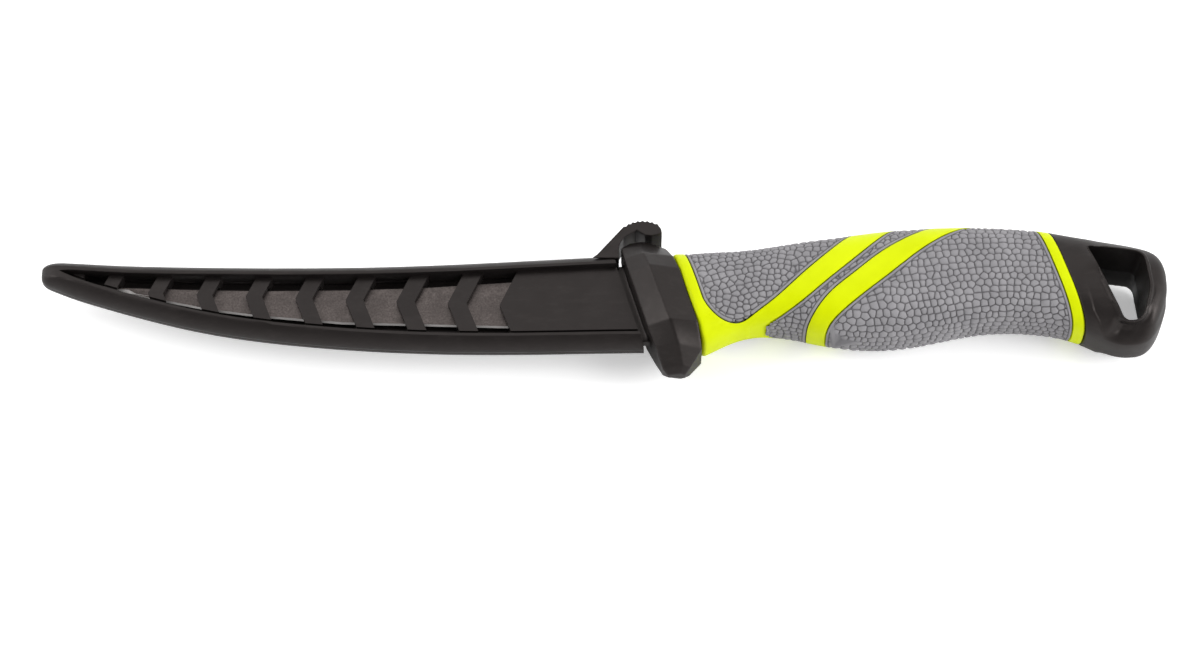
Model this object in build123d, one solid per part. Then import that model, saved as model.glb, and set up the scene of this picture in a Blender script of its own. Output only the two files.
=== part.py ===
from build123d import *
import math
import os

# Fillet knife in its sheath, lying on its side.
# X runs along the knife with the sheath tip at minus X and the pommel at plus X.
# Y runs from the cutting edge, minus, to the spine, plus.
# Z is the thickness, with zero at the surface that the knife lies on.
# Guard, mouth and grip joints are slanted: a slanted station s is at x = s - slant_share * y.
# A table's shares follow the sizes that its comment names.

# Driving dimensions, in millimetres
guard_front = 8.6
rest_half = 11.5
slant_share = 0.30
fit = 0.05
running = 0.08
overrun = 30.0

# Blade and tang
blade_length = 141.7
blade_thickness = 1.7
tip_thickness = 1.1
shoulder_thickness = 0.5
bevel_height = 0.5
blade_edge_depth = 9.4
blade_spine_rise = 7.2
tang_length = 90.0
tang_height = 12.0
tang_rise = 0.5
tang_hole_radius = 3.0
grind_share = 0.75
bevel_limit_share = 0.2

# Guard
guard_depth = 13.6
guard_drop = 23.3
nose_length = 6.0
nose_wall = 0.4
nose_rise = 1.0
nose_drop = 4.2
lip_length = 1.6
lip_rise = 2.3
spigot_thickness = 8.0
spigot_height = 13.4
spigot_length = 4.5

# Handle
grip_length = 103.5
grip_height = 32.2
grip_thickness = 22.0
grip_squareness = 2.8
pad_thickness = 2.2
groove = 0.35
ring_front_width = 3.3
ring_rear_width = 2.9
ring_front_round = 1.2
ring_rear_round = 0.6
section_points = 16
tenon_length = 4.6
tenon_thickness = 11.0
tenon_height = 13.0
tenon_rise = 0.5

# Pommel
pommel_length = 25.3
hole_inset = 1.3
hole_draft_degrees = 6.0
hole_corner = 2.4

# Sheath
sheath_length = 157.6
sheath_height = 30.0
sheath_thickness = 9.0
mouth_gap = 2.0
rim_straight = 0.7
side_slope = 2.9
side_bulge_share = 0.125
land = 0.8
tip_land = 5.0
tip_solid = 11.6
recess_depth = 2.1
gutter_width = 1.7
gutter_depth = 0.8
channel_gap = 0.15
edge_gap = 1.3
spine_gap = 0.5
web_depth = 1.5
back_inset = 1.4
bar_pitch = 14.0
bar_pitch_loss = 0.07
bar_count = 9
panel_setback = 33.9
pin_radius = 0.9
pin_length = 2.0
nose_gap = 0.15

# Latch
latch_length = 16.0
latch_step = 0.1
heel_setback = 3.0
heel_rise = 10.9
heel_radius = 1.6
heel_cheek = 1.9
tooth_depth = 0.45
tooth_count = 8
latch_swing_degrees = 10.0
latch_room = 0.12
neck_width_share = 0.7
neck_height_share = 0.9

# Sizes that follow
blade_half = blade_thickness / 2
blade_front = guard_front - blade_length
grip_front = guard_front + guard_depth
grip_rear = grip_front + grip_length
pommel_end = grip_rear + pommel_length
tang_end = grip_front + tang_length
tang_top = tang_rise + tang_height / 2
tang_bottom = tang_rise - tang_height / 2
nose_half = blade_half + fit + nose_wall
nose_top = blade_spine_rise + nose_rise
nose_bottom = -blade_edge_depth - nose_drop
lip_top = blade_spine_rise + lip_rise
sheath_half = sheath_thickness / 2
mouth = guard_front - mouth_gap
recess_floor = sheath_half - recess_depth
panel_vertex = mouth - panel_setback
heel_half = sheath_half - heel_cheek
heel_x = mouth - heel_setback - slant_share * heel_rise
latch_half = sheath_half - latch_step

# Blade: share of the blade length from the tip, then of the edge depth or the spine rise.
blade_edge_shares = ((0.0, -0.28), (0.04, -0.13), (0.10, 0.07), (0.20, 0.40), (0.30, 0.61),
                     (0.45, 0.82), (0.60, 0.88), (0.75, 0.94), (1.0, 1.0), (1.09, 1.0))
blade_spine_shares = ((0.0, 0.43), (0.04, 0.425), (0.15, 0.345), (0.28, 0.29), (0.40, 0.30),
                      (0.55, 0.352), (0.70, 0.535), (0.85, 0.80), (1.0, 1.0), (1.09, 1.0))
blade_station_shares = (0.0, 0.04, 0.10, 0.20, 0.30, 0.45, 0.60, 0.75, 1.0, 1.09)
tang_hole_shares = (0.25, 0.78)

# Guard: share of the drop below the middle, then station and half thickness in turn for the
# front edge, the ridge and the rear edge, as shares of the guard's depth and of rest_half.
guard_shares = (
    (1.0, 0.147, 0.07, 0.40, 0.139, 0.49, 0.087),
    (0.945, 0.074, 0.174, 0.46, 0.296, 0.61, 0.209),
    (0.74, 0.051, 0.452, 0.478, 0.661, 0.955, 0.40),
    (0.50, 0.0, 0.591, 0.441, 0.939, 1.0, 0.765),
    (-0.19, 0.0, 0.609, 0.397, 1.0, 1.0, 0.809),
    (-0.39, 0.015, 0.522, 0.382, 0.835, 0.985, 0.661),
    (-0.58, 0.051, 0.339, 0.434, 0.47, 0.956, 0.313),
    (-0.70, 0.287, 0.13, 0.507, 0.226, 0.691, 0.174),
)

# Handle and pommel: share of the length from the guard's front to the pommel's end, then
# centre and half height as shares of the grip height, and half thickness of its thickness.
handle_shares = (
    (0.066, -0.048, 0.429, 0.418), (0.136, -0.048, 0.435, 0.418), (0.185, 0.013, 0.384, 0.409),
    (0.235, 0.054, 0.362, 0.427), (0.305, 0.067, 0.40, 0.464), (0.382, 0.057, 0.46, 0.491),
    (0.473, 0.073, 0.502, 0.50), (0.558, 0.117, 0.492, 0.486), (0.642, 0.162, 0.457, 0.468),
    (0.726, 0.165, 0.438, 0.464), (0.789, 0.133, 0.435, 0.468), (0.824, 0.098, 0.435, 0.482),
    (0.86, 0.048, 0.449, 0.514), (0.902, -0.013, 0.471, 0.55), (0.937, -0.035, 0.461, 0.559),
    (0.965, -0.029, 0.420, 0.545), (0.986, 0.004, 0.328, 0.495), (0.997, 0.022, 0.222, 0.418),
    (1.0, 0.022, 0.17, 0.373),
)

# Grip pads: share of the grip length from the guard, and of the grip height from the middle.
front_pad_shares = ((0.062, -0.229), (0.10, -0.317), (0.149, -0.305), (0.185, -0.240),
                    (0.223, -0.162), (0.301, 0.062), (0.371, 0.273), (0.447, 0.525),
                    (0.488, 0.667))
front_corner_share = -0.143
middle_left_shares = ((0.168, -0.314), (0.181, -0.306), (0.206, -0.292), (0.237, -0.268),
                      (0.2725, -0.219), (0.315, -0.127), (0.345, -0.045), (0.374, 0.037),
                      (0.439, 0.2205), (0.534, 0.522), (0.578, 0.667))
middle_right_shares = ((0.689, 0.667), (0.639, 0.556), (0.571, 0.413), (0.504, 0.257),
                       (0.439, 0.076), (0.371, -0.117), (0.336, -0.254), (0.313, -0.362),
                       (0.298, -0.476))
rear_pad_shares = ((0.351, -0.476), (0.361, -0.381), (0.394, -0.279), (0.459, -0.111),
                   (0.524, 0.06), (0.589, 0.244), (0.649, 0.40), (0.702, 0.514),
                   (0.751, 0.603), (0.79, 0.667))
pad_reach_share = 0.667
pad_drop_share = -0.476

# Lanyard hole: share of the pommel length and of the grip height, then of hole_corner.
hole_shares = ((0.162, 0.356, 0.5), (0.763, 0.286, 1.25), (0.81, -0.063, 5.0),
               (0.708, -0.368, 1.5), (0.51, -0.368, 1.0))

# Sheath: share of its length from the mouth, lower and upper edge as shares of its height,
# then the level and the inset of the land as shares of the half thickness and side_slope.
sheath_shares = (
    (-0.06, -0.525, 0.425, 1.0, 1.0), (0.016, -0.528, 0.412, 1.0, 1.0),
    (0.112, -0.538, 0.385, 1.0, 1.0), (0.249, -0.545, 0.343, 1.0, 1.0),
    (0.385, -0.526, 0.31, 1.0, 1.0), (0.549, -0.462, 0.294, 1.0, 1.0),
    (0.721, -0.325, 0.299, 1.0, 1.0), (0.895, -0.07, 0.326, 1.0, 1.0),
    (0.956, 0.045, 0.342, 1.0, 0.897), (0.981, 0.10, 0.339, 0.844, 0.69),
    (0.995, 0.14, 0.317, 0.533, 0.414), (1.0, 0.18, 0.292, 0.311, 0.207),
)
tip_row_count = 3
bar_width_share = 0.37
bar_taper_share = 0.03
vertex_share = -0.10
vertex_rise_share = 0.037
bar_upper_lean_share = 0.45
bar_lower_lean_share = 0.39
pin_shares = (0.07, 0.33, 0.55)
pin_depth_share = -0.45

# Latch: places from the heel's centre as shares of the latch length.
latch_back_shares = ((-0.2205, -0.04), (-0.1775, -0.04), (-0.1575, -0.016), (-0.0955, 0.031))
latch_hook_shares = ((0.9915, 0.524), (1.0045, 0.436), (0.9485, 0.417), (0.8295, 0.392),
                     (0.7235, 0.402), (0.5715, 0.502), (0.3485, 0.349), (0.2735, 0.202),
                     (0.2755, -0.04))
latch_arc_shares = (0.6795, 0.186, 0.506)
latch_arc_start_degrees = 130.0
latch_arc_end_degrees = 61.0
cradle_left_degrees = 125.0
cradle_right_degrees = 38.0


def slanted(station, y):
    """Return the x of a slanted station at height y."""
    return station - slant_share * y


def prism(outline, low, high):
    """Extrude a closed outline in the XY plane between two levels."""
    return extrude(Plane.XY.offset(low) * outline, high - low)


def polygon(points):
    """Return a flat face through the points."""
    return make_face(Polyline(*points, close=True))


def curved_face(curve_points, corner_points):
    """Return a flat face bounded by a smooth curve and straight lines back to its start."""
    curve = Spline(*curve_points)
    back = Polyline(curve_points[-1], *corner_points, curve_points[0])
    return make_face(Wire([*curve.edges(), *back.edges()]))


def slanted_block(start, end, bottom, top, half):
    """Return a block between two slanted stations, centred on the middle plane."""
    corners = [(slanted(start, bottom), bottom), (slanted(end, bottom), bottom),
               (slanted(end, top), top), (slanted(start, top), top)]
    return prism(polygon(corners), -half, half)


def shifted(points, distance):
    """Move each point of an open line to the left of its run by a distance."""
    moved = []
    for place, point in enumerate(points):
        before = points[max(place - 1, 0)]
        after = points[min(place + 1, len(points) - 1)]
        run = math.hypot(after[0] - before[0], after[1] - before[1])
        moved.append((point[0] - distance * (after[1] - before[1]) / run,
                      point[1] + distance * (after[0] - before[0]) / run))
    return moved


def share_at(table, share):
    """Read the second column of a table of shares by straight interpolation."""
    for left, right in zip(table, table[1:]):
        if share <= right[0]:
            part = (share - left[0]) / (right[0] - left[0])
            return left[1] + part * (right[1] - left[1])
    return table[-1][1]


def blade_x(share):
    return blade_front + share * blade_length


def blade_edge(share):
    return -blade_edge_depth * share_at(blade_edge_shares, share)


def blade_spine(share):
    return blade_spine_rise * share_at(blade_spine_shares, share)


def blade_section(share):
    """One cross-section: flat spine, flat-ground sides and a cutting bevel."""
    x = blade_x(share)
    low = blade_edge(share)
    high = blade_spine(share)
    half = (tip_thickness + (blade_thickness - tip_thickness) * min(1.0, share)) / 2
    shoulder_y = low + min(bevel_height, bevel_limit_share * (high - low))
    grind_y = low + grind_share * (high - low)
    shoulder = min(shoulder_thickness / 2, half)
    outline = Polyline((x, high, -half), (x, high, half), (x, grind_y, half),
                       (x, shoulder_y, shoulder), (x, low, 0), (x, shoulder_y, -shoulder),
                       (x, grind_y, -half), close=True)
    return Wire(outline.edges())


def tang_holes(radius, length):
    y = (tang_top + tang_bottom) / 2
    return [Pos(grip_front + share * tang_length, y) * Cylinder(radius, length)
            for share in tang_hole_shares]


def make_blade():
    wires = [blade_section(share) for share in blade_station_shares]
    blade = Solid.make_loft(wires, ruled=True)
    start = blade_x(blade_station_shares[-1]) - fit
    tang = polygon([(start, tang_bottom), (tang_end, tang_bottom),
                    (tang_end, tang_top), (start, tang_top)])
    blade += prism(tang, -blade_half, blade_half)
    for hole in tang_holes(tang_hole_radius, overrun):
        blade -= hole
    return blade


def blade_outline(spine_room, edge_room):
    """The blade's side view with room round it, only ever widening towards the handle."""
    top = []
    low = []
    highest = blade_spine(0)
    for share in blade_station_shares:
        highest = max(highest, blade_spine(share))
        top.append((blade_x(share), highest + spine_room))
        low.append((blade_x(share), blade_edge(share) - edge_room))
    tip = (blade_front - spine_room - edge_room, (blade_spine(0) + blade_edge(0)) / 2)
    return polygon([tip, *low, *top[::-1]])


def steel_slot():
    """The room that the blade and its tang take in the moulded pieces."""
    half = blade_half + fit
    tang = polygon([(guard_front, tang_bottom - fit), (tang_end + fit, tang_bottom - fit),
                    (tang_end + fit, tang_top + fit), (guard_front, tang_top + fit)])
    return prism(blade_outline(fit, fit), -half, half) + prism(tang, -half, half)


def make_guard():
    """A faceted cross guard with a nose that enters the sheath's mouth."""
    wires = []
    for drop, front, front_half, ridge, ridge_half, rear, rear_half in guard_shares:
        y = -guard_drop * drop
        x = [slanted(guard_front + place * guard_depth, y) for place in (front, ridge, rear)]
        z = [half * rest_half for half in (front_half, ridge_half, rear_half)]
        outline = Polyline((x[0], y, -z[0]), (x[0], y, z[0]), (x[1], y, z[1]),
                           (x[2], y, z[2]), (x[2], y, -z[2]), (x[1], y, -z[1]), close=True)
        wires.append(Wire(outline.edges()))
    guard = Solid.make_loft(wires, ruled=True)
    guard += slanted_block(guard_front - nose_length, guard_front + nose_length / 2,
                           nose_bottom, nose_top, nose_half)
    guard += slanted_block(guard_front - lip_length, guard_front + nose_length / 2,
                           nose_top - nose_rise, lip_top, nose_half)
    guard -= slanted_block(grip_front - spigot_length - fit, grip_front + overrun,
                           -spigot_height / 2 - fit, spigot_height / 2 + fit,
                           spigot_thickness / 2 + fit)
    return guard - steel_slot()


def round_section(x, centre, half_height, half_thickness):
    """A closed smooth section between an ellipse and a rectangle."""
    points = []
    for step in range(section_points):
        angle = 2 * math.pi * step / section_points
        power = 2 / grip_squareness
        across = math.copysign(abs(math.cos(angle)) ** power, math.cos(angle))
        up = math.copysign(abs(math.sin(angle)) ** power, math.sin(angle))
        points.append((x, centre + half_height * across, half_thickness * up))
    return Wire(Spline(*points, periodic=True).edges())


def handle_body(inset):
    """The smooth body of handle and pommel, drawn in by an inset."""
    span = pommel_end - guard_front
    wires = [round_section(guard_front + place * span, centre * grip_height,
                           height * grip_height - inset, thickness * grip_thickness - inset)
             for place, centre, height, thickness in handle_shares]
    return Solid.make_loft(wires, ruled=False)


def grip_points(shares):
    return [(grip_front + along * grip_length, up * grip_height) for along, up in shares]


def front_pad_outline(gap):
    left = grip_front + ring_front_width + gap
    corner = front_corner_share * grip_height
    top = pad_reach_share * grip_height
    curve = [(slanted(left, corner), corner), *shifted(grip_points(front_pad_shares), gap)]
    return curved_face(curve, [(slanted(left, top), top)])


def middle_pad_outline(gap):
    left = shifted(grip_points(middle_left_shares), -gap)
    right = shifted(grip_points(middle_right_shares), -gap)
    start = Spline(*left)
    end = Spline(*right)
    top = Polyline(left[-1], right[0])
    low = Polyline(right[-1], (left[0][0], right[-1][1]), left[0])
    return make_face(Wire([*start.edges(), *top.edges(), *end.edges(), *low.edges()]))


def rear_pad_outline(gap):
    right = grip_rear - ring_rear_width - gap
    top = pad_reach_share * grip_height
    low = pad_drop_share * grip_height
    curve = shifted(grip_points(rear_pad_shares), -gap)
    return curved_face(curve, [(slanted(right, top), top), (slanted(right, low), low)])


def make_handle(body):
    """Return the core and its three grip pads."""
    inner = handle_body(pad_thickness)
    floor = handle_body(pad_thickness + fit)
    grip = body & slanted_block(grip_front, grip_rear, -overrun, overrun, overrun)
    ends = grip.faces().filter_by(GeomType.PLANE).sort_by(Axis.X)
    grip = fillet(ends[0].edges(), ring_front_round)
    ends = grip.faces().filter_by(GeomType.PLANE).sort_by(Axis.X)
    grip = fillet(ends[-1].edges(), ring_rear_round)
    core = grip
    pads = []
    for outline in (front_pad_outline, middle_pad_outline, rear_pad_outline):
        core -= prism(outline(0), -overrun, overrun) - floor
        pads.append((grip & prism(outline(groove), -overrun, overrun)) - inner)
    core += slanted_block(grip_front - spigot_length, grip_front + spigot_length,
                          -spigot_height / 2, spigot_height / 2, spigot_thickness / 2)
    core += slanted_block(grip_rear - tenon_length, grip_rear + tenon_length,
                          tenon_rise - tenon_height / 2, tenon_rise + tenon_height / 2,
                          tenon_thickness / 2)
    core -= steel_slot()
    for peg in tang_holes(tang_hole_radius - fit, blade_thickness + groove):
        core += peg
    return core, pads


def hole_outline():
    points = [(grip_rear + along * pommel_length, up * grip_height)
              for along, up, corner in hole_shares]
    radii = [corner * hole_corner for along, up, corner in hole_shares]
    return make_face(FilletPolyline(*points, radius=radii, close=True))


def make_pommel(body):
    """The end cap with its lanyard hole, drafted from both faces to the middle."""
    pommel = body & slanted_block(grip_rear, pommel_end + overrun, -overrun, overrun, rest_half)
    middle = offset(hole_outline(), -hole_inset)
    for side in (1, -1):
        pommel -= extrude(Plane.XY * middle, side * overrun, taper=-hole_draft_degrees)
    pommel -= slanted_block(grip_rear - fit, grip_rear + tenon_length + fit,
                            tenon_rise - tenon_height / 2 - fit,
                            tenon_rise + tenon_height / 2 + fit, tenon_thickness / 2 + fit)
    return pommel


def sheath_rows():
    """Rows of x, lower edge, upper edge, land level and land inset, from the mouth on."""
    return [(mouth - along * sheath_length, low * sheath_height, high * sheath_height,
             level * sheath_half, inset * side_slope)
            for along, low, high, level, inset in sheath_shares]


def bulged(start, end, side):
    """An arc in a cross-section, bulging up and to one side of the straight line."""
    middle = [(first + last) / 2 for first, last in zip(start, end)]
    across = abs(end[1] - start[1])
    rise = abs(end[2] - start[2])
    return ThreePointArc(start, (start[0], middle[1] + side * side_bulge_share * rise,
                                 middle[2] + side_bulge_share * across), end)


def sheath_half_body(room):
    """Half of the sheath above the parting plane, without its recess, grown by some room."""
    wires = []
    for x, low, high, level, inset in sheath_rows():
        side = min(rim_straight, level / 2)
        bottom = low - room
        top = high + room
        face = level + room
        wires.append(Wire([Line((x, bottom, 0), (x, bottom, side)),
                           bulged((x, bottom, side), (x, bottom + inset, face), -1),
                           Line((x, bottom + inset, face), (x, top - inset, face)),
                           bulged((x, top - inset, face), (x, top, side), 1),
                           Line((x, top, side), (x, top, 0)), Line((x, top, 0), (x, bottom, 0))]))
    half = Solid.make_loft(wires, ruled=False)
    return half & slanted_block(mouth - sheath_length - overrun, mouth + room,
                                -overrun, overrun, overrun)


def recess_outline():
    """The recessed face inside the narrow land."""
    rows = sheath_rows()
    line = [(row[0], row[2]) for row in rows] + [(row[0], row[1]) for row in rows[::-1]]
    inner = shifted(line, side_slope + land)
    kept = len(rows) - tip_row_count
    top = inner[:kept]
    low = inner[-kept:]
    nose = (mouth - sheath_length + tip_land, top[-1][1])
    upper = Spline(*top, nose)
    lower = Spline(nose, *low)
    return make_face(Wire([*upper.edges(), *lower.edges(), *Line(low[-1], top[0]).edges()]))


def bar_outline(number):
    """One chevron bar, counted from the mouth panel, with its vertex towards the tip."""
    x = panel_vertex - number * (bar_pitch - bar_pitch_loss * number)
    y = vertex_share * sheath_height + vertex_rise_share * (panel_vertex - x)
    width = bar_pitch * bar_width_share * (1 - bar_taper_share * number)
    upper = x + bar_upper_lean_share * overrun
    lower = x + bar_lower_lean_share * overrun
    return polygon([(x, y), (upper, y + overrun), (upper + width, y + overrun), (x + width, y),
                    (lower + width, y - overrun), (lower, y - overrun)])


def panel_outline():
    """The solid panel between the last window and the mouth."""
    x = panel_vertex
    y = vertex_share * sheath_height
    end = mouth + overrun
    return polygon([(x, y), (x + bar_upper_lean_share * overrun, y + overrun),
                    (end, y + overrun), (end, y - overrun),
                    (x + bar_lower_lean_share * overrun, y - overrun)])


def latch_cradle():
    """The pocket that carries the latch's heel and leaves room for its swing."""
    half = heel_half + running
    cradle = Pos(heel_x, heel_rise) * Cylinder(heel_radius + running, 2 * half)
    rays = [math.radians(angle) for angle in (cradle_right_degrees, cradle_left_degrees)]
    fan = polygon([(heel_x, heel_rise), *[(heel_x + overrun * math.cos(ray),
                                           heel_rise + overrun * math.sin(ray))
                                          for ray in rays]])
    return cradle + prism(fan, -half, half)


def make_sheath():
    """Return the front and back shells, which meet at the middle plane."""
    recess = recess_outline()
    windows = recess - panel_outline()
    for number in range(1, bar_count + 1):
        windows -= bar_outline(number)
    tip = mouth - sheath_length
    windows -= polygon([(tip, -overrun), (tip + tip_solid, -overrun),
                        (tip + tip_solid, overrun), (tip, overrun)])
    half = sheath_half_body(0)
    half -= prism(recess, recess_floor, overrun)
    half -= prism(recess - Pos(0, gutter_width) * recess, recess_floor - gutter_depth, overrun)
    half -= prism(blade_outline(spine_gap, edge_gap), -overrun, blade_half + channel_gap)
    half -= slanted_block(guard_front - nose_length - nose_gap, guard_front + overrun,
                          nose_bottom - nose_gap, nose_top + nose_gap, nose_half + nose_gap)
    half -= latch_cradle()
    front = half - prism(windows, -overrun, overrun)
    back = half - prism(windows & blade_outline(-nose_gap, -back_inset), -overrun, overrun)
    back -= prism(windows, -overrun, web_depth)
    back = mirror(back, about=Plane.XY)
    for share in pin_shares:
        x = mouth - share * sheath_length
        y = pin_depth_share * sheath_height + blade_edge(1 - share) - blade_edge(1)
        back += Pos(x, y) * Cylinder(pin_radius, 2 * pin_length)
        front -= Pos(x, y) * Cylinder(pin_radius + running, 2 * (pin_length + running))
    return front, back


def latch_points(shares):
    return [(heel_x + along * latch_length, heel_rise + up * latch_length)
            for along, up in shares]


def make_latch():
    """The thumb latch: it straddles the sheath's top, turns on a heel and hooks over the guard."""
    centre_x = heel_x + latch_arc_shares[0] * latch_length
    centre_y = heel_rise + latch_arc_shares[1] * latch_length
    outer = latch_arc_shares[2] * latch_length
    sweep = latch_arc_end_degrees - latch_arc_start_degrees
    steps = 2 * tooth_count - 2
    teeth = []
    for step in range(steps + 1):
        angle = math.radians(latch_arc_start_degrees + sweep * step / steps)
        radius = outer - tooth_depth * (step % 2)
        teeth.append((centre_x + radius * math.cos(angle), centre_y + radius * math.sin(angle)))
    outline = polygon([*latch_points(latch_back_shares), *teeth,
                       *latch_points(latch_hook_shares)])
    latch = prism(outline, -latch_half, latch_half)
    roof = sheath_half_body(latch_room)
    roof += mirror(roof, about=Plane.XY)
    swung = Pos(heel_x, heel_rise) * Rot(0, 0, -latch_swing_degrees) * Pos(-heel_x, -heel_rise)
    latch -= roof
    latch -= swung * roof
    latch += Pos(heel_x, heel_rise) * Cylinder(heel_radius, 2 * heel_half)
    half_neck = neck_width_share * heel_radius
    neck_top = heel_rise + heel_radius + neck_height_share * heel_radius
    neck = polygon([(heel_x - half_neck, heel_rise), (heel_x + half_neck, heel_rise),
                    (heel_x + half_neck, neck_top), (heel_x - half_neck, neck_top)])
    return latch + (prism(neck, -heel_half, heel_half) & prism(outline, -heel_half, heel_half))


body = handle_body(0)
core, pads = make_handle(body)
front_shell, back_shell = make_sheath()

pieces = {
    "blade": make_blade(),
    "guard": make_guard(),
    "handle_core": core,
    "grip_front": pads[0],
    "grip_middle": pads[1],
    "grip_rear": pads[2],
    "pommel": make_pommel(body),
    "sheath_front_shell": front_shell,
    "sheath_back_shell": back_shell,
    "latch_tab": make_latch(),
}

# The frame's origin is the middle of the overall box at the level that the knife lies on.
boxes = [piece.bounding_box() for piece in pieces.values()]
shift_x = -(min(box.min.X for box in boxes) + max(box.max.X for box in boxes)) / 2
shift_y = -(min(box.min.Y for box in boxes) + max(box.max.Y for box in boxes)) / 2

os.makedirs("parts", exist_ok=True)
for name, piece in pieces.items():
    export_step(Pos(shift_x, shift_y, rest_half) * piece, f"parts/{name}.step")
print("shift", round(shift_x, 3), round(shift_y, 3))
print("latch axis", round(heel_x + shift_x, 3), round(heel_rise + shift_y, 3))
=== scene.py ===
import math
import random

import bmesh
import bpy
import numpy as np
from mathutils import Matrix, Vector
from mathutils.bvhtree import BVHTree
from mathutils.kdtree import KDTree


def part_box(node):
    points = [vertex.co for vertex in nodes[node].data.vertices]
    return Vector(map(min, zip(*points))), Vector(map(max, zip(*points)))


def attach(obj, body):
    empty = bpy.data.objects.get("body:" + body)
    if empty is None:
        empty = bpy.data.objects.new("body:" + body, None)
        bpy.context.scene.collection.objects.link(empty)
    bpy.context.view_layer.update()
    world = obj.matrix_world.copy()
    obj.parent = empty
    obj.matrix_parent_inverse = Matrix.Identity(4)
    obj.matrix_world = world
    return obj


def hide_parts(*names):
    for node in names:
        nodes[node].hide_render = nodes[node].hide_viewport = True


# A fillet knife in its sheath, lying on a pale floor.
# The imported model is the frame: X to the pommel, Y to the spine, Z up from the floor, in metres.
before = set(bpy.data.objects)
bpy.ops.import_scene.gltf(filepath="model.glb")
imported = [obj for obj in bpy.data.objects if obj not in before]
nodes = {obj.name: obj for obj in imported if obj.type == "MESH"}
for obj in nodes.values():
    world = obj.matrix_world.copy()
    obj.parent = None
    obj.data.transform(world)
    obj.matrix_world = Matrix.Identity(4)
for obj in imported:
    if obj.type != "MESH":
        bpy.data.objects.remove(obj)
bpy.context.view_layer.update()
mm = 0.001
core_low, core_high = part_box("handle_core")
middle_level = (core_low.z + core_high.z) / 2
random_seed = 7

# Camera: the photograph's view, tipped from straight above towards the cutting edge
camera_target = Vector((-0.4, -7.04, 11.5)) * mm
camera_distance = 900 * mm
camera_elevation_degrees = 62.0
camera_lens = 100.7
camera_sensor = 36.0
camera_clip = 10 * mm

# Meshes
weld_distance = 0.001 * mm
smoothing_factor = 0.5
least_length = 1e-6 * mm
edge_segments = 2
core_edge = 0.25 * mm
core_edge_degrees = 40
shell_edge = 0.22 * mm
shell_edge_degrees = 30

# Rubber pads: the relief is creases between domed pebbles, inside a smooth border.
pad_voxel = 0.2 * mm
pad_smoothing = 2
pad_edge_degrees = 50
pebble_rows = 44
pebble_pitch = 2.05 * mm
row_jitter_share = 0.15
pebble_jitter_share = 0.3
crease_half = 0.27 * mm
crease_depth = 0.38 * mm
border_crease_share = 0.6
dome_depth = 0.2 * mm
border_width = 0.75 * mm
edge_round = 0.35 * mm
snap_share = 1.5
inner_kept_share = 0.5
inner_weight = 10
section_step = 2.0 * mm
section_rays = 120
section_reach = 60 * mm

# Guard and latch
guard_voxel = 0.3 * mm
guard_smoothing = 5
latch_voxel = 0.16 * mm
latch_smoothing = 4

# Pommel and its hole's rim
pommel_voxel = 0.23 * mm
pommel_smoothing = 4
rim_edge_degrees = 50
rim_setback = 2 * mm
rim_least_level = 5 * mm
wall_facing_shares = (0.1, 0.4)
least_reach = 0.1 * mm
face_levels = (3.5 * mm, 7.0 * mm)

# Bead: the trough round it is deepest at the bead's foot and then fades out.
# The foot and the fade are shares of the bead's width.
bead_width = 0.7 * mm
bead_height = 0.7 * mm
bead_foot_share = 1.6
trough_fade_shares = (2, 10)
bead_facing_shares = (0.1, 0.5)

# Collar: a low step along a slanted line behind the grip
collar_points = [Vector((x, y)) * mm for x, y in ((129.0, 0.0), (130.8, -7.9), (133.9, -13.6))]
collar_step = 0.4 * mm
collar_blend = 0.3 * mm
collar_fade = (-6 * mm, 1 * mm)

# Scoop: the valley under the hole, from its leaning start to its end and down to the facet
scoop_depth = 2.2 * mm
scoop_rim_shares = (1.2, 4)
scoop_start = 131.5 * mm
scoop_start_blend = 5 * mm
scoop_lean_share = 0.7
scoop_end = 148.0 * mm
scoop_end_blend = 7 * mm
scoop_top = -5.0 * mm
scoop_low = -10.0 * mm
facet_x = 136.0 * mm
facet_y = -15.8 * mm
facet_rise_share = 0.4
facet_blend = 3.5 * mm

# Colours, as linear red, green and blue
moulding_colours = ((0.0100, 0.0084, 0.0080), (0.016, 0.0137, 0.013))
sheath_colours = ((0.0085, 0.0071, 0.0069), (0.014, 0.012, 0.0115))
black_tint = (1.0, 0.90, 0.87, 1)
lime_colours = ((0.58, 0.675, 0.0), (0.635, 0.74, 0.002))
lime_tint = (0.95, 1.0, 0.35, 1)
rubber_colours = ((0.232, 0.226, 0.237), (0.274, 0.267, 0.279))
# Painted shade: the dark grey that the pads' creases are darkened towards, standing in for the
# shade that falls in them
crease_shade_colour = (0.06, 0.057, 0.061)
steel_colours = ((0.062, 0.053, 0.050), (0.14, 0.120, 0.114))
wash_colour = (0.085, 0.073, 0.070)
bevel_colour = (0.55, 0.53, 0.52)
floor_colours = ((0.95, 0.95, 0.95), (0.96, 0.96, 0.96))
white = (1, 1, 1, 1)

# Finish
moulding_roughness = 0.40
sheath_roughness = 0.36
bevel_upright_shares = (0.95, 0.97)

# Floor and light: places and sizes in metres, power in watts
floor_half = 3.0
floor_lift = 0.36
horizon_light = 1.15
zenith_light = 0.2
back_light = 0.32
back_light_span = (-0.1, 0.5)
lamps = (("key", (0.0, 0.55, 1.05), (1.6, 0.7), 3.5),
         ("left", (-0.95, 0.1, 0.75), (0.6, 0.7), 5.0),
         ("right", (1.05, -0.25, 0.6), (0.6, 0.7), 10.0))


# Mesh tools

def coordinates(mesh):
    points = np.empty(len(mesh.vertices) * 3)
    mesh.vertices.foreach_get("co", points)
    return points.reshape(-1, 3)


def set_coordinates(mesh, points):
    mesh.vertices.foreach_set("co", points.ravel())
    mesh.update()


def vertex_normals(mesh):
    normals = np.empty(len(mesh.vertices) * 3, np.float32)
    mesh.vertex_normals.foreach_get("vector", normals)
    return normals.reshape(-1, 3).astype(float)


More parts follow.
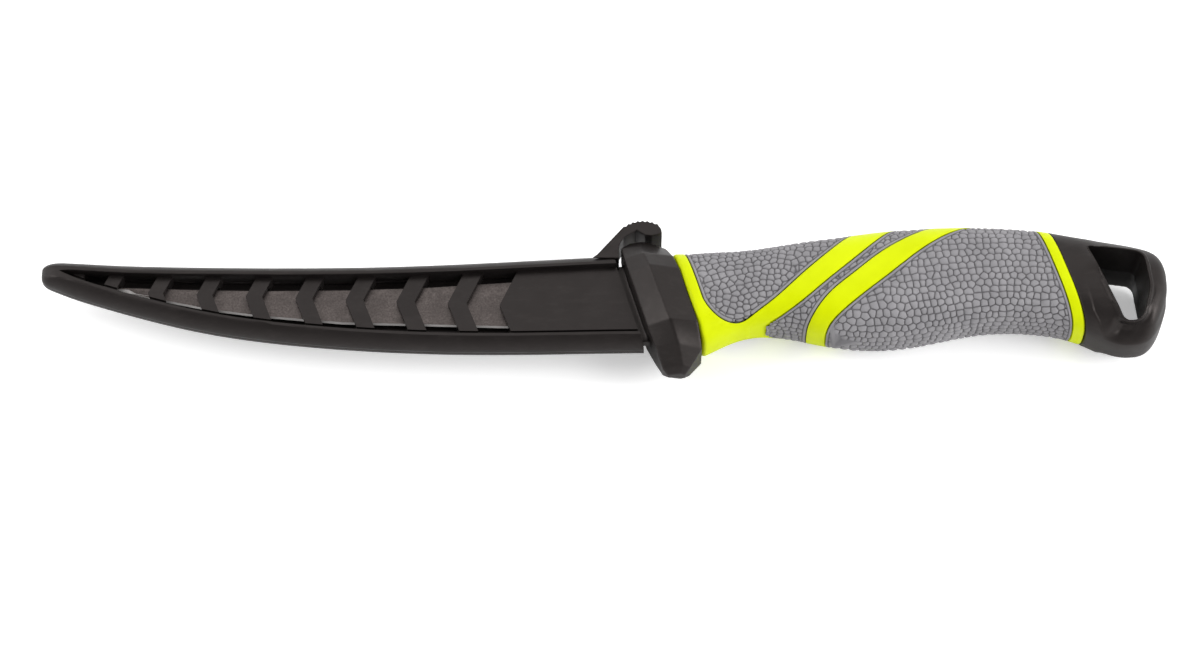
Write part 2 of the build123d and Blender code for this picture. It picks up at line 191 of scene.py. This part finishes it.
def welded(node):
    """A bmesh of a CAD node with its doubled points joined."""
    shape = bmesh.new()
    shape.from_mesh(nodes[node].data)
    bmesh.ops.remove_doubles(shape, verts=shape.verts, dist=weld_distance)
    return shape


def apply_modifiers(piece):
    graph = bpy.context.evaluated_depsgraph_get()
    result = bpy.data.meshes.new_from_object(piece.evaluated_get(graph))
    piece.modifiers.clear()
    piece.data = result
    result.polygons.foreach_set("use_smooth", [True] * len(result.polygons))


def remeshed(node, name, voxel, smoothing):
    """A new piece with even faces in the shape of a CAD node, with its edges softened."""
    shape = welded(node)
    mesh = bpy.data.meshes.new(name)
    shape.to_mesh(mesh)
    shape.free()
    piece = bpy.data.objects.new(name, mesh)
    bpy.context.scene.collection.objects.link(piece)
    remesh = piece.modifiers.new("remesh", "REMESH")
    remesh.mode = "VOXEL"
    remesh.voxel_size = voxel
    soften = piece.modifiers.new("soften", "SMOOTH")
    soften.factor = smoothing_factor
    soften.iterations = smoothing
    apply_modifiers(piece)
    return piece


def sharp_edge_points(node, least_degrees, spacing):
    """Points along a CAD node's sharp edges, for measuring distances to them."""
    shape = welded(node)
    points = []
    for edge in shape.edges:
        if len(edge.link_faces) == 2 and edge.calc_face_angle() > math.radians(least_degrees):
            start, end = edge.verts[0].co, edge.verts[1].co
            steps = max(1, int((end - start).length / spacing))
            points += [start.lerp(end, step / steps) for step in range(steps + 1)]
    shape.free()
    return points


def tree_of(points):
    tree = KDTree(len(points))
    for place, point in enumerate(points):
        tree.insert(point, place)
    tree.balance()
    return tree


def distances(points, tree):
    return np.array([tree.find(point)[2] for point in points])


def smoothstep(low, high, values):
    part = np.clip((values - low) / (high - low), 0, 1)
    return part * part * (3 - 2 * part)


# Grip pads with their pebbled relief

def grip_sections():
    """Rings of points on the grip's surface, one at each step along it."""
    points, faces = [], []
    for node in ("handle_core", "grip_front", "grip_middle", "grip_rear"):
        start = len(points)
        mesh = nodes[node].data
        points += [vertex.co.copy() for vertex in mesh.vertices]
        faces += [[start + index for index in face.vertices] for face in mesh.polygons]
    tree = BVHTree.FromPolygons(points, faces)
    sections = []
    for step in range(int((core_high.x - core_low.x) / section_step) + 1):
        x = core_low.x + step * section_step
        centre = Vector((x, 0, middle_level))
        ring = []
        for ray in range(section_rays):
            angle = 2 * math.pi * ray / section_rays
            out = Vector((0, math.cos(angle), math.sin(angle)))
            hit = tree.ray_cast(centre + out * section_reach, -out)[0]
            if hit is not None:
                ring.append(hit)
        sections.append((x, ring))
    return sections


def ring_point(ring, share):
    """The point at a share of the way round a closed ring, by length."""
    lengths = [(ring[i] - ring[i - 1]).length for i in range(len(ring))]
    walked = 0.0
    goal = share * sum(lengths)
    for i, length in enumerate(lengths):
        if walked + length >= goal:
            return ring[i - 1].lerp(ring[i], (goal - walked) / max(length, least_length))
        walked += length
    return ring[-1]


def pebble_seeds():
    """The pebbles' middles: uneven rows along the grip, spaced by length round it."""
    rng = random.Random(random_seed)
    sections = grip_sections()
    first = sections[0][0]
    span = sections[-1][0] - first
    seeds = []
    for row in range(pebble_rows):
        place = rng.random() * pebble_pitch
        while place < span:
            at = min(int(place / section_step), len(sections) - 1)
            ring = sections[at][1]
            jitter = rng.uniform(-row_jitter_share, row_jitter_share)
            point = ring_point(ring, ((row + 1 / 2 + jitter) / pebble_rows) % 1)
            seeds.append(Vector((first + place, point.y, point.z)))
            place += pebble_pitch * (1 + rng.uniform(-pebble_jitter_share, pebble_jitter_share))
    return seeds


def snapped(points, node, edge_distance):
    """The points put on the CAD node's own surface, but for those by its softened edges."""
    shape = welded(node)
    surface = BVHTree.FromBMesh(shape)
    shape.free()
    for place in np.nonzero(edge_distance > edge_round * snap_share)[0]:
        points[place] = surface.find_nearest(points[place])[0]
    return points


def turned_out(points, normals):
    """True where a point of a pad is on its outer side."""
    count = len(points)
    axis = np.stack([points[:, 0], np.full(count, points[:, 1].mean()),
                     np.full(count, middle_level)], axis=1)
    return np.einsum("ij,ij->i", normals, points - axis) > 0


def pebble_relief(points, seeds, edge_distance):
    """The relief's depth at each point, and how far the point is in a crease."""
    nearest = np.array([[found[2] for found in seeds.find_n(point, 2)] for point in points])
    between_seeds = (nearest[:, 1] - nearest[:, 0]) / 2
    from_border = np.abs(edge_distance - border_width)
    inside = edge_distance > border_width
    from_crease = np.where(inside, np.minimum(between_seeds, from_border), from_border)
    crease = 1 - smoothstep(0, crease_half, from_crease)
    dome = np.where(inside, np.clip(nearest[:, 0] / (pebble_pitch / 2), 0, 1) ** 2, 0)
    depth = crease_depth * crease * np.where(inside, 1, border_crease_share) + dome_depth * dome
    return depth * smoothstep(0, border_width / 2, edge_distance), crease


def thin_inside(pad, outward):
    """Spend few faces on the pad's inner side, which lies on the core."""
    group = pad.vertex_groups.new(name="inner")
    group.add([int(i) for i in np.nonzero(~outward)[0]], 1.0, "REPLACE")
    fewer = pad.modifiers.new("fewer", "DECIMATE")
    fewer.ratio = inner_kept_share
    fewer.vertex_group = "inner"
    fewer.vertex_group_factor = inner_weight
    apply_modifiers(pad)


def pebbled_pad(node, name, seeds):
    """A grip pad with its relief cut inward, and its creases marked for the painted shade in its
    material.
    """
    pad = remeshed(node, name, pad_voxel, pad_smoothing)
    points = coordinates(pad.data)
    edges = tree_of(sharp_edge_points(node, pad_edge_degrees, pad_voxel))
    edge_distance = distances(points, edges)
    points = snapped(points, node, edge_distance)
    set_coordinates(pad.data, points)
    normals = vertex_normals(pad.data)
    outward = turned_out(points, normals)
    depth, crease = pebble_relief(points, seeds, edge_distance)
    # The crease mark carries painted shade: the rubber material darkens the pad there
    dark = pad.data.attributes.new("crease", "FLOAT", "POINT")
    dark.data.foreach_set("value", (crease * outward).astype(np.float32))
    set_coordinates(pad.data, points - normals * np.where(outward, depth, 0)[:, None])
    thin_inside(pad, outward)
    return pad


# Pommel with the bead, collar and scoop of its faces

def hole_rim():
    """Points along the two face edges of the lanyard hole."""
    return [point for point in sharp_edge_points("pommel", rim_edge_degrees, pommel_voxel)
            if point.x > core_high.x + rim_setback
            and abs(point.z - middle_level) > rim_least_level]


def hole_wall(points, normals, rim):
    """One on the hole's wall and nought on the faces, so that the wall is left as it is."""
    across = np.mean(np.array(rim), axis=0)[:2] - points[:, :2]
    reach = np.maximum(np.linalg.norm(across, axis=1), least_reach)
    facing = np.einsum("ij,ij->i", across / reach[:, None], normals[:, :2])
    return smoothstep(*wall_facing_shares, facing)


def bead_trough(from_hole, normals):
    """Depth of the trough that leaves a bead standing round the hole."""
    fade_start, fade_end = [share * bead_width for share in trough_fade_shares]
    depth = bead_height * smoothstep(bead_width, bead_width * bead_foot_share, from_hole)
    depth *= 1 - smoothstep(fade_start, fade_end, from_hole)
    return depth * smoothstep(*bead_facing_shares, np.abs(normals[:, 2]))


def collar_cut(x, y, level):
    """Depth of the low step behind the collar line."""
    line = np.interp(-y, [-point.y for point in collar_points],
                     [point.x for point in collar_points])
    depth = collar_step * smoothstep(-collar_blend, collar_blend, x - line)
    depth *= 1 - smoothstep(*collar_fade, y)
    return depth * smoothstep(*face_levels, level)


def scoop_cut(x, y, level, from_hole):
    """Depth of the valley under the hole."""
    rim_start, rim_end = [share * bead_width for share in scoop_rim_shares]
    leaning = x - scoop_lean_share * (y - facet_y)
    above_facet = y - facet_y - facet_rise_share * (x - facet_x)
    depth = scoop_depth * smoothstep(*face_levels, level)
    depth *= smoothstep(rim_start, rim_end, from_hole)
    depth *= smoothstep(scoop_start, scoop_start + scoop_start_blend, leaning)
    depth *= 1 - smoothstep(scoop_end - scoop_end_blend, scoop_end, x)
    depth *= 1 - smoothstep(scoop_low, scoop_top, y)
    return depth * smoothstep(-facet_blend, 0, above_facet)


def carved_pommel():
    pommel = remeshed("pommel", "end_cap", pommel_voxel, pommel_smoothing)
    points = coordinates(pommel.data)
    normals = vertex_normals(pommel.data)
    x, y = points[:, 0], points[:, 1]
    level = np.abs(points[:, 2] - middle_level)
    rim = hole_rim()
    from_hole = distances(points, tree_of(rim))
    depth = bead_trough(from_hole, normals) + collar_cut(x, y, level)
    depth += scoop_cut(x, y, level, from_hole)
    depth *= 1 - hole_wall(points, normals, rim)
    set_coordinates(pommel.data, points - normals * depth[:, None])
    return pommel


# Materials

class Paint:
    """A material with short calls for the nodes that it needs."""

    def __init__(self, name, roughness, specular, metallic=0.0):
        self.material = bpy.data.materials.new(name)
        self.material.use_nodes = True
        self.tree = self.material.node_tree
        self.shader = self.tree.nodes["Principled BSDF"]
        self.shader.inputs["Roughness"].default_value = roughness
        self.shader.inputs["Specular IOR Level"].default_value = specular
        self.shader.inputs["Metallic"].default_value = metallic
        self.place = self.tree.nodes.new("ShaderNodeTexCoord").outputs["Object"]

    def node(self, kind, **values):
        made = self.tree.nodes.new(kind)
        for name, value in values.items():
            setattr(made, name, value)
        return made

    def join(self, source, target):
        self.tree.links.new(source, target)

    def noise(self, size, detail=3.0, roughness=0.55, stretch=(1, 1, 1)):
        mapping = self.node("ShaderNodeMapping")
        mapping.inputs["Scale"].default_value = stretch
        self.join(self.place, mapping.inputs["Vector"])
        noise = self.node("ShaderNodeTexNoise")
        noise.inputs["Scale"].default_value = 1 / size
        noise.inputs["Detail"].default_value = detail
        noise.inputs["Roughness"].default_value = roughness
        self.join(mapping.outputs["Vector"], noise.inputs["Vector"])
        return noise.outputs["Fac"]

    def range(self, value, low, high, start=0.35, end=0.65):
        """Map a value from start and end to low and high."""
        mapped = self.node("ShaderNodeMapRange")
        mapped.inputs["From Min"].default_value = start
        mapped.inputs["From Max"].default_value = end
        mapped.inputs["To Min"].default_value = low
        mapped.inputs["To Max"].default_value = high
        self.join(value, mapped.inputs["Value"])
        return mapped.outputs["Result"]

    def blend(self, share, first, second):
        """Mix two colours, each of them plain or from a socket."""
        mix = self.node("ShaderNodeMix", data_type="RGBA")
        self.join(share, mix.inputs["Factor"])
        for socket, value in ((mix.inputs["A"], first), (mix.inputs["B"], second)):
            if isinstance(value, tuple):
                socket.default_value = (*value, 1)
            else:
                self.join(value, socket)
        return mix.outputs["Result"]

    def bump(self, height, strength, distance, under=None):
        made = self.node("ShaderNodeBump")
        made.inputs["Strength"].default_value = strength
        made.inputs["Distance"].default_value = distance
        self.join(height, made.inputs["Height"])
        if under is not None:
            self.join(under, made.inputs["Normal"])
        return made.outputs["Normal"]

    def finish(self, colour=None, roughness=None, normal=None):
        for value, socket in ((colour, "Base Color"), (roughness, "Roughness"), (normal, "Normal")):
            if value is not None:
                self.join(value, self.shader.inputs[socket])
        return self.material


def black_plastic(name, colours, roughness):
    """Moulded black plastic: fine spark-eroded grain, soft mottling and a few rubbed marks."""
    paint = Paint(name, roughness, specular=0.3)
    paint.shader.inputs["Specular Tint"].default_value = black_tint
    mottle = paint.noise(size=9 * mm, detail=4)
    grain = paint.noise(size=0.22 * mm, detail=2)
    rub = paint.noise(size=2.4 * mm, detail=5, roughness=0.7, stretch=(0.35, 1, 1))
    colour = paint.blend(paint.range(rub, 0, 1, start=0.5, end=0.72), *colours)
    rough = paint.range(mottle, low=roughness - 0.05, high=roughness + 0.07)
    coarse = paint.bump(mottle, strength=0.12, distance=0.3 * mm)
    fine = paint.bump(grain, strength=0.16, distance=0.05 * mm, under=coarse)
    return paint.finish(colour, rough, fine)


def lime_plastic():
    """Smooth bright plastic with a slight orange-peel sheen."""
    paint = Paint("lime_plastic", roughness=0.42, specular=0.18)
    paint.shader.inputs["Specular Tint"].default_value = lime_tint
    cloud = paint.noise(size=14 * mm, detail=3)
    peel = paint.noise(size=0.9 * mm, detail=2)
    colour = paint.blend(paint.range(cloud, 0, 1), *lime_colours)
    rough = paint.range(peel, low=0.38, high=0.48)
    return paint.finish(colour, rough, paint.bump(peel, strength=0.10, distance=0.08 * mm))


def grey_rubber():
    """Grey rubber: matt, a little dusty in its mottled tone, with painted shade darkening its
    creases and a fine skin grain over the pebbles.
    """
    paint = Paint("grey_rubber", roughness=0.68, specular=0.28)
    cloud = paint.noise(size=7 * mm, detail=4)
    grain = paint.noise(size=0.16 * mm, detail=3)
    colour = paint.blend(paint.range(cloud, 0, 1), *rubber_colours)
    # Painted shade: the creases are darkened towards a dark grey, standing in for the shade that
    # falls in them
    crease = paint.node("ShaderNodeAttribute", attribute_name="crease").outputs["Fac"]
    painted_crease_shade = paint.range(crease, low=0, high=0.75, start=0.2, end=1.0)
    colour = paint.blend(painted_crease_shade, colour, crease_shade_colour)
    rough = paint.range(grain, low=0.6, high=0.76)
    return paint.finish(colour, rough, paint.bump(grain, strength=0.22, distance=0.05 * mm))


def blade_steel():
    """Dark stonewashed flats with a bright ground cutting bevel, told by its tilt."""
    paint = Paint("blade_steel", roughness=0.42, specular=0.5, metallic=1.0)
    pits = paint.noise(size=0.5 * mm, detail=5, roughness=0.7)
    wash = paint.noise(size=3.5 * mm, detail=4, roughness=0.6)
    brush = paint.noise(size=0.35 * mm, detail=3, roughness=0.6, stretch=(1, 0.06, 1))
    flats = paint.blend(paint.range(pits, 0, 1, start=0.3, end=0.7), *steel_colours)
    flats = paint.blend(paint.range(wash, low=0, high=0.35), flats, wash_colour)
    separate = paint.node("ShaderNodeSeparateXYZ")
    facets = paint.node("ShaderNodeNewGeometry")
    paint.join(facets.outputs["True Normal"], separate.inputs["Vector"])
    upright = paint.node("ShaderNodeMath", operation="ABSOLUTE")
    paint.join(separate.outputs["Z"], upright.inputs[0])
    ground = paint.range(upright.outputs["Value"], 1, 0, *bevel_upright_shares)
    colour = paint.blend(ground, flats, bevel_colour)
    rough = paint.range(wash, low=0.36, high=0.5)
    return paint.finish(colour, rough, paint.bump(brush, strength=0.1, distance=0.03 * mm))


def pale_floor():
    """A pale paper floor, lifted a little where the camera sees it."""
    paint = Paint("pale_floor", roughness=0.9, specular=0.1)
    paper = paint.noise(size=2 * mm, detail=3)
    colour = paint.blend(paper, *floor_colours)
    seen = paint.node("ShaderNodeLightPath").outputs["Is Camera Ray"]
    lift = paint.range(seen, low=0, high=floor_lift, start=0, end=1)
    paint.shader.inputs["Emission Color"].default_value = white
    paint.join(lift, paint.shader.inputs["Emission Strength"])
    return paint.finish(colour)


def paint_node(node, material):
    slots = nodes[node].material_slots
    for slot in slots:
        slot.material = material
    if not slots:
        nodes[node].data.materials.append(material)


def soften_node(node, width, least_degrees):
    """Round a CAD node's sharp edges a little, as a mould leaves them."""
    weld = nodes[node].modifiers.new("weld", "WELD")
    weld.merge_threshold = weld_distance
    bevel = nodes[node].modifiers.new("soft_edges", "BEVEL")
    bevel.width = width
    bevel.segments = edge_segments
    bevel.limit_method = "ANGLE"
    bevel.angle_limit = math.radians(least_degrees)
    bevel.harden_normals = True


def take_over(piece, node, material, body):
    """The piece is shown in place of the CAD node, and moves with its body."""
    piece.data.materials.clear()
    piece.data.materials.append(material)
    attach(piece, body)
    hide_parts(node)


# Stage, lights and camera

def make_stage():
    half = floor_half
    mesh = bpy.data.meshes.new("floor")
    mesh.from_pydata([(-half, -half, 0), (half, -half, 0), (half, half, 0), (-half, half, 0)],
                     [], [(0, 1, 2, 3)])
    floor = bpy.data.objects.new("floor", mesh)
    bpy.context.scene.collection.objects.link(floor)
    mesh.materials.append(pale_floor())


def soft_lamp(name, place, size, power):
    data = bpy.data.lights.new(name, "AREA")
    data.shape = "RECTANGLE"
    data.size, data.size_y = size
    data.energy = power
    lamp = bpy.data.objects.new(name, data)
    bpy.context.scene.collection.objects.link(lamp)
    lamp.location = place
    lamp.rotation_euler = (camera_target - Vector(place)).to_track_quat("-Z", "Y").to_euler()


def make_world():
    """A white backdrop that lights from the horizon more than from above, and from behind."""
    world = bpy.data.worlds.new("studio")
    bpy.context.scene.world = world
    world.use_nodes = True
    tree = world.node_tree
    background = tree.nodes["Background"]
    background.inputs["Color"].default_value = white
    rays = tree.nodes.new("ShaderNodeLightPath")
    direction = tree.nodes.new("ShaderNodeTexCoord")
    parts = tree.nodes.new("ShaderNodeSeparateXYZ")
    tree.links.new(direction.outputs["Generated"], parts.inputs["Vector"])
    lit = tree.nodes.new("ShaderNodeMapRange")
    lit.inputs["To Min"].default_value = horizon_light
    lit.inputs["To Max"].default_value = zenith_light
    tree.links.new(parts.outputs["Z"], lit.inputs["Value"])
    behind = tree.nodes.new("ShaderNodeMapRange")
    behind.inputs["From Min"].default_value = back_light_span[0]
    behind.inputs["From Max"].default_value = back_light_span[1]
    behind.inputs["To Max"].default_value = back_light
    tree.links.new(parts.outputs["Y"], behind.inputs["Value"])
    total = tree.nodes.new("ShaderNodeMath")
    tree.links.new(lit.outputs["Result"], total.inputs[0])
    tree.links.new(behind.outputs["Result"], total.inputs[1])
    strength = tree.nodes.new("ShaderNodeMix")
    strength.inputs["B"].default_value = 1.0
    tree.links.new(rays.outputs["Is Camera Ray"], strength.inputs["Factor"])
    tree.links.new(total.outputs["Value"], strength.inputs["A"])
    tree.links.new(strength.outputs["Result"], background.inputs["Strength"])


def make_camera():
    data = bpy.data.cameras.new("camera")
    data.lens = camera_lens
    data.sensor_width = camera_sensor
    data.clip_start = camera_clip
    camera = bpy.data.objects.new("camera", data)
    bpy.context.scene.collection.objects.link(camera)
    tilt = math.radians(camera_elevation_degrees)
    back = Vector((0, -math.cos(tilt), math.sin(tilt)))
    camera.location = camera_target + back * camera_distance
    camera.rotation_euler = (-back).to_track_quat("-Z", "Y").to_euler()
    bpy.context.scene.camera = camera
    bpy.context.scene.view_settings.view_transform = "Standard"


make_stage()
make_world()
for lamp in lamps:
    soft_lamp(*lamp)
make_camera()

moulding = black_plastic("black_plastic", moulding_colours, moulding_roughness)
sheath = black_plastic("sheath_plastic", sheath_colours, sheath_roughness)
lime = lime_plastic()
rubber = grey_rubber()

paint_node("blade", blade_steel())
paint_node("handle_core", lime)
soften_node("handle_core", core_edge, core_edge_degrees)
for shell in ("sheath_front_shell", "sheath_back_shell"):
    paint_node(shell, sheath)
    soften_node(shell, shell_edge, shell_edge_degrees)

seeds = tree_of(pebble_seeds())
for node, name in (("grip_front", "front_pad"), ("grip_middle", "middle_pad"),
                   ("grip_rear", "rear_pad")):
    take_over(pebbled_pad(node, name, seeds), node, rubber, "knife")

guard = remeshed("guard", "finger_guard", guard_voxel, guard_smoothing)
take_over(guard, "guard", moulding, "knife")
take_over(carved_pommel(), "pommel", moulding, "knife")
latch = remeshed("latch_tab", "thumb_latch", latch_voxel, latch_smoothing)
take_over(latch, "latch_tab", sheath, "latch")
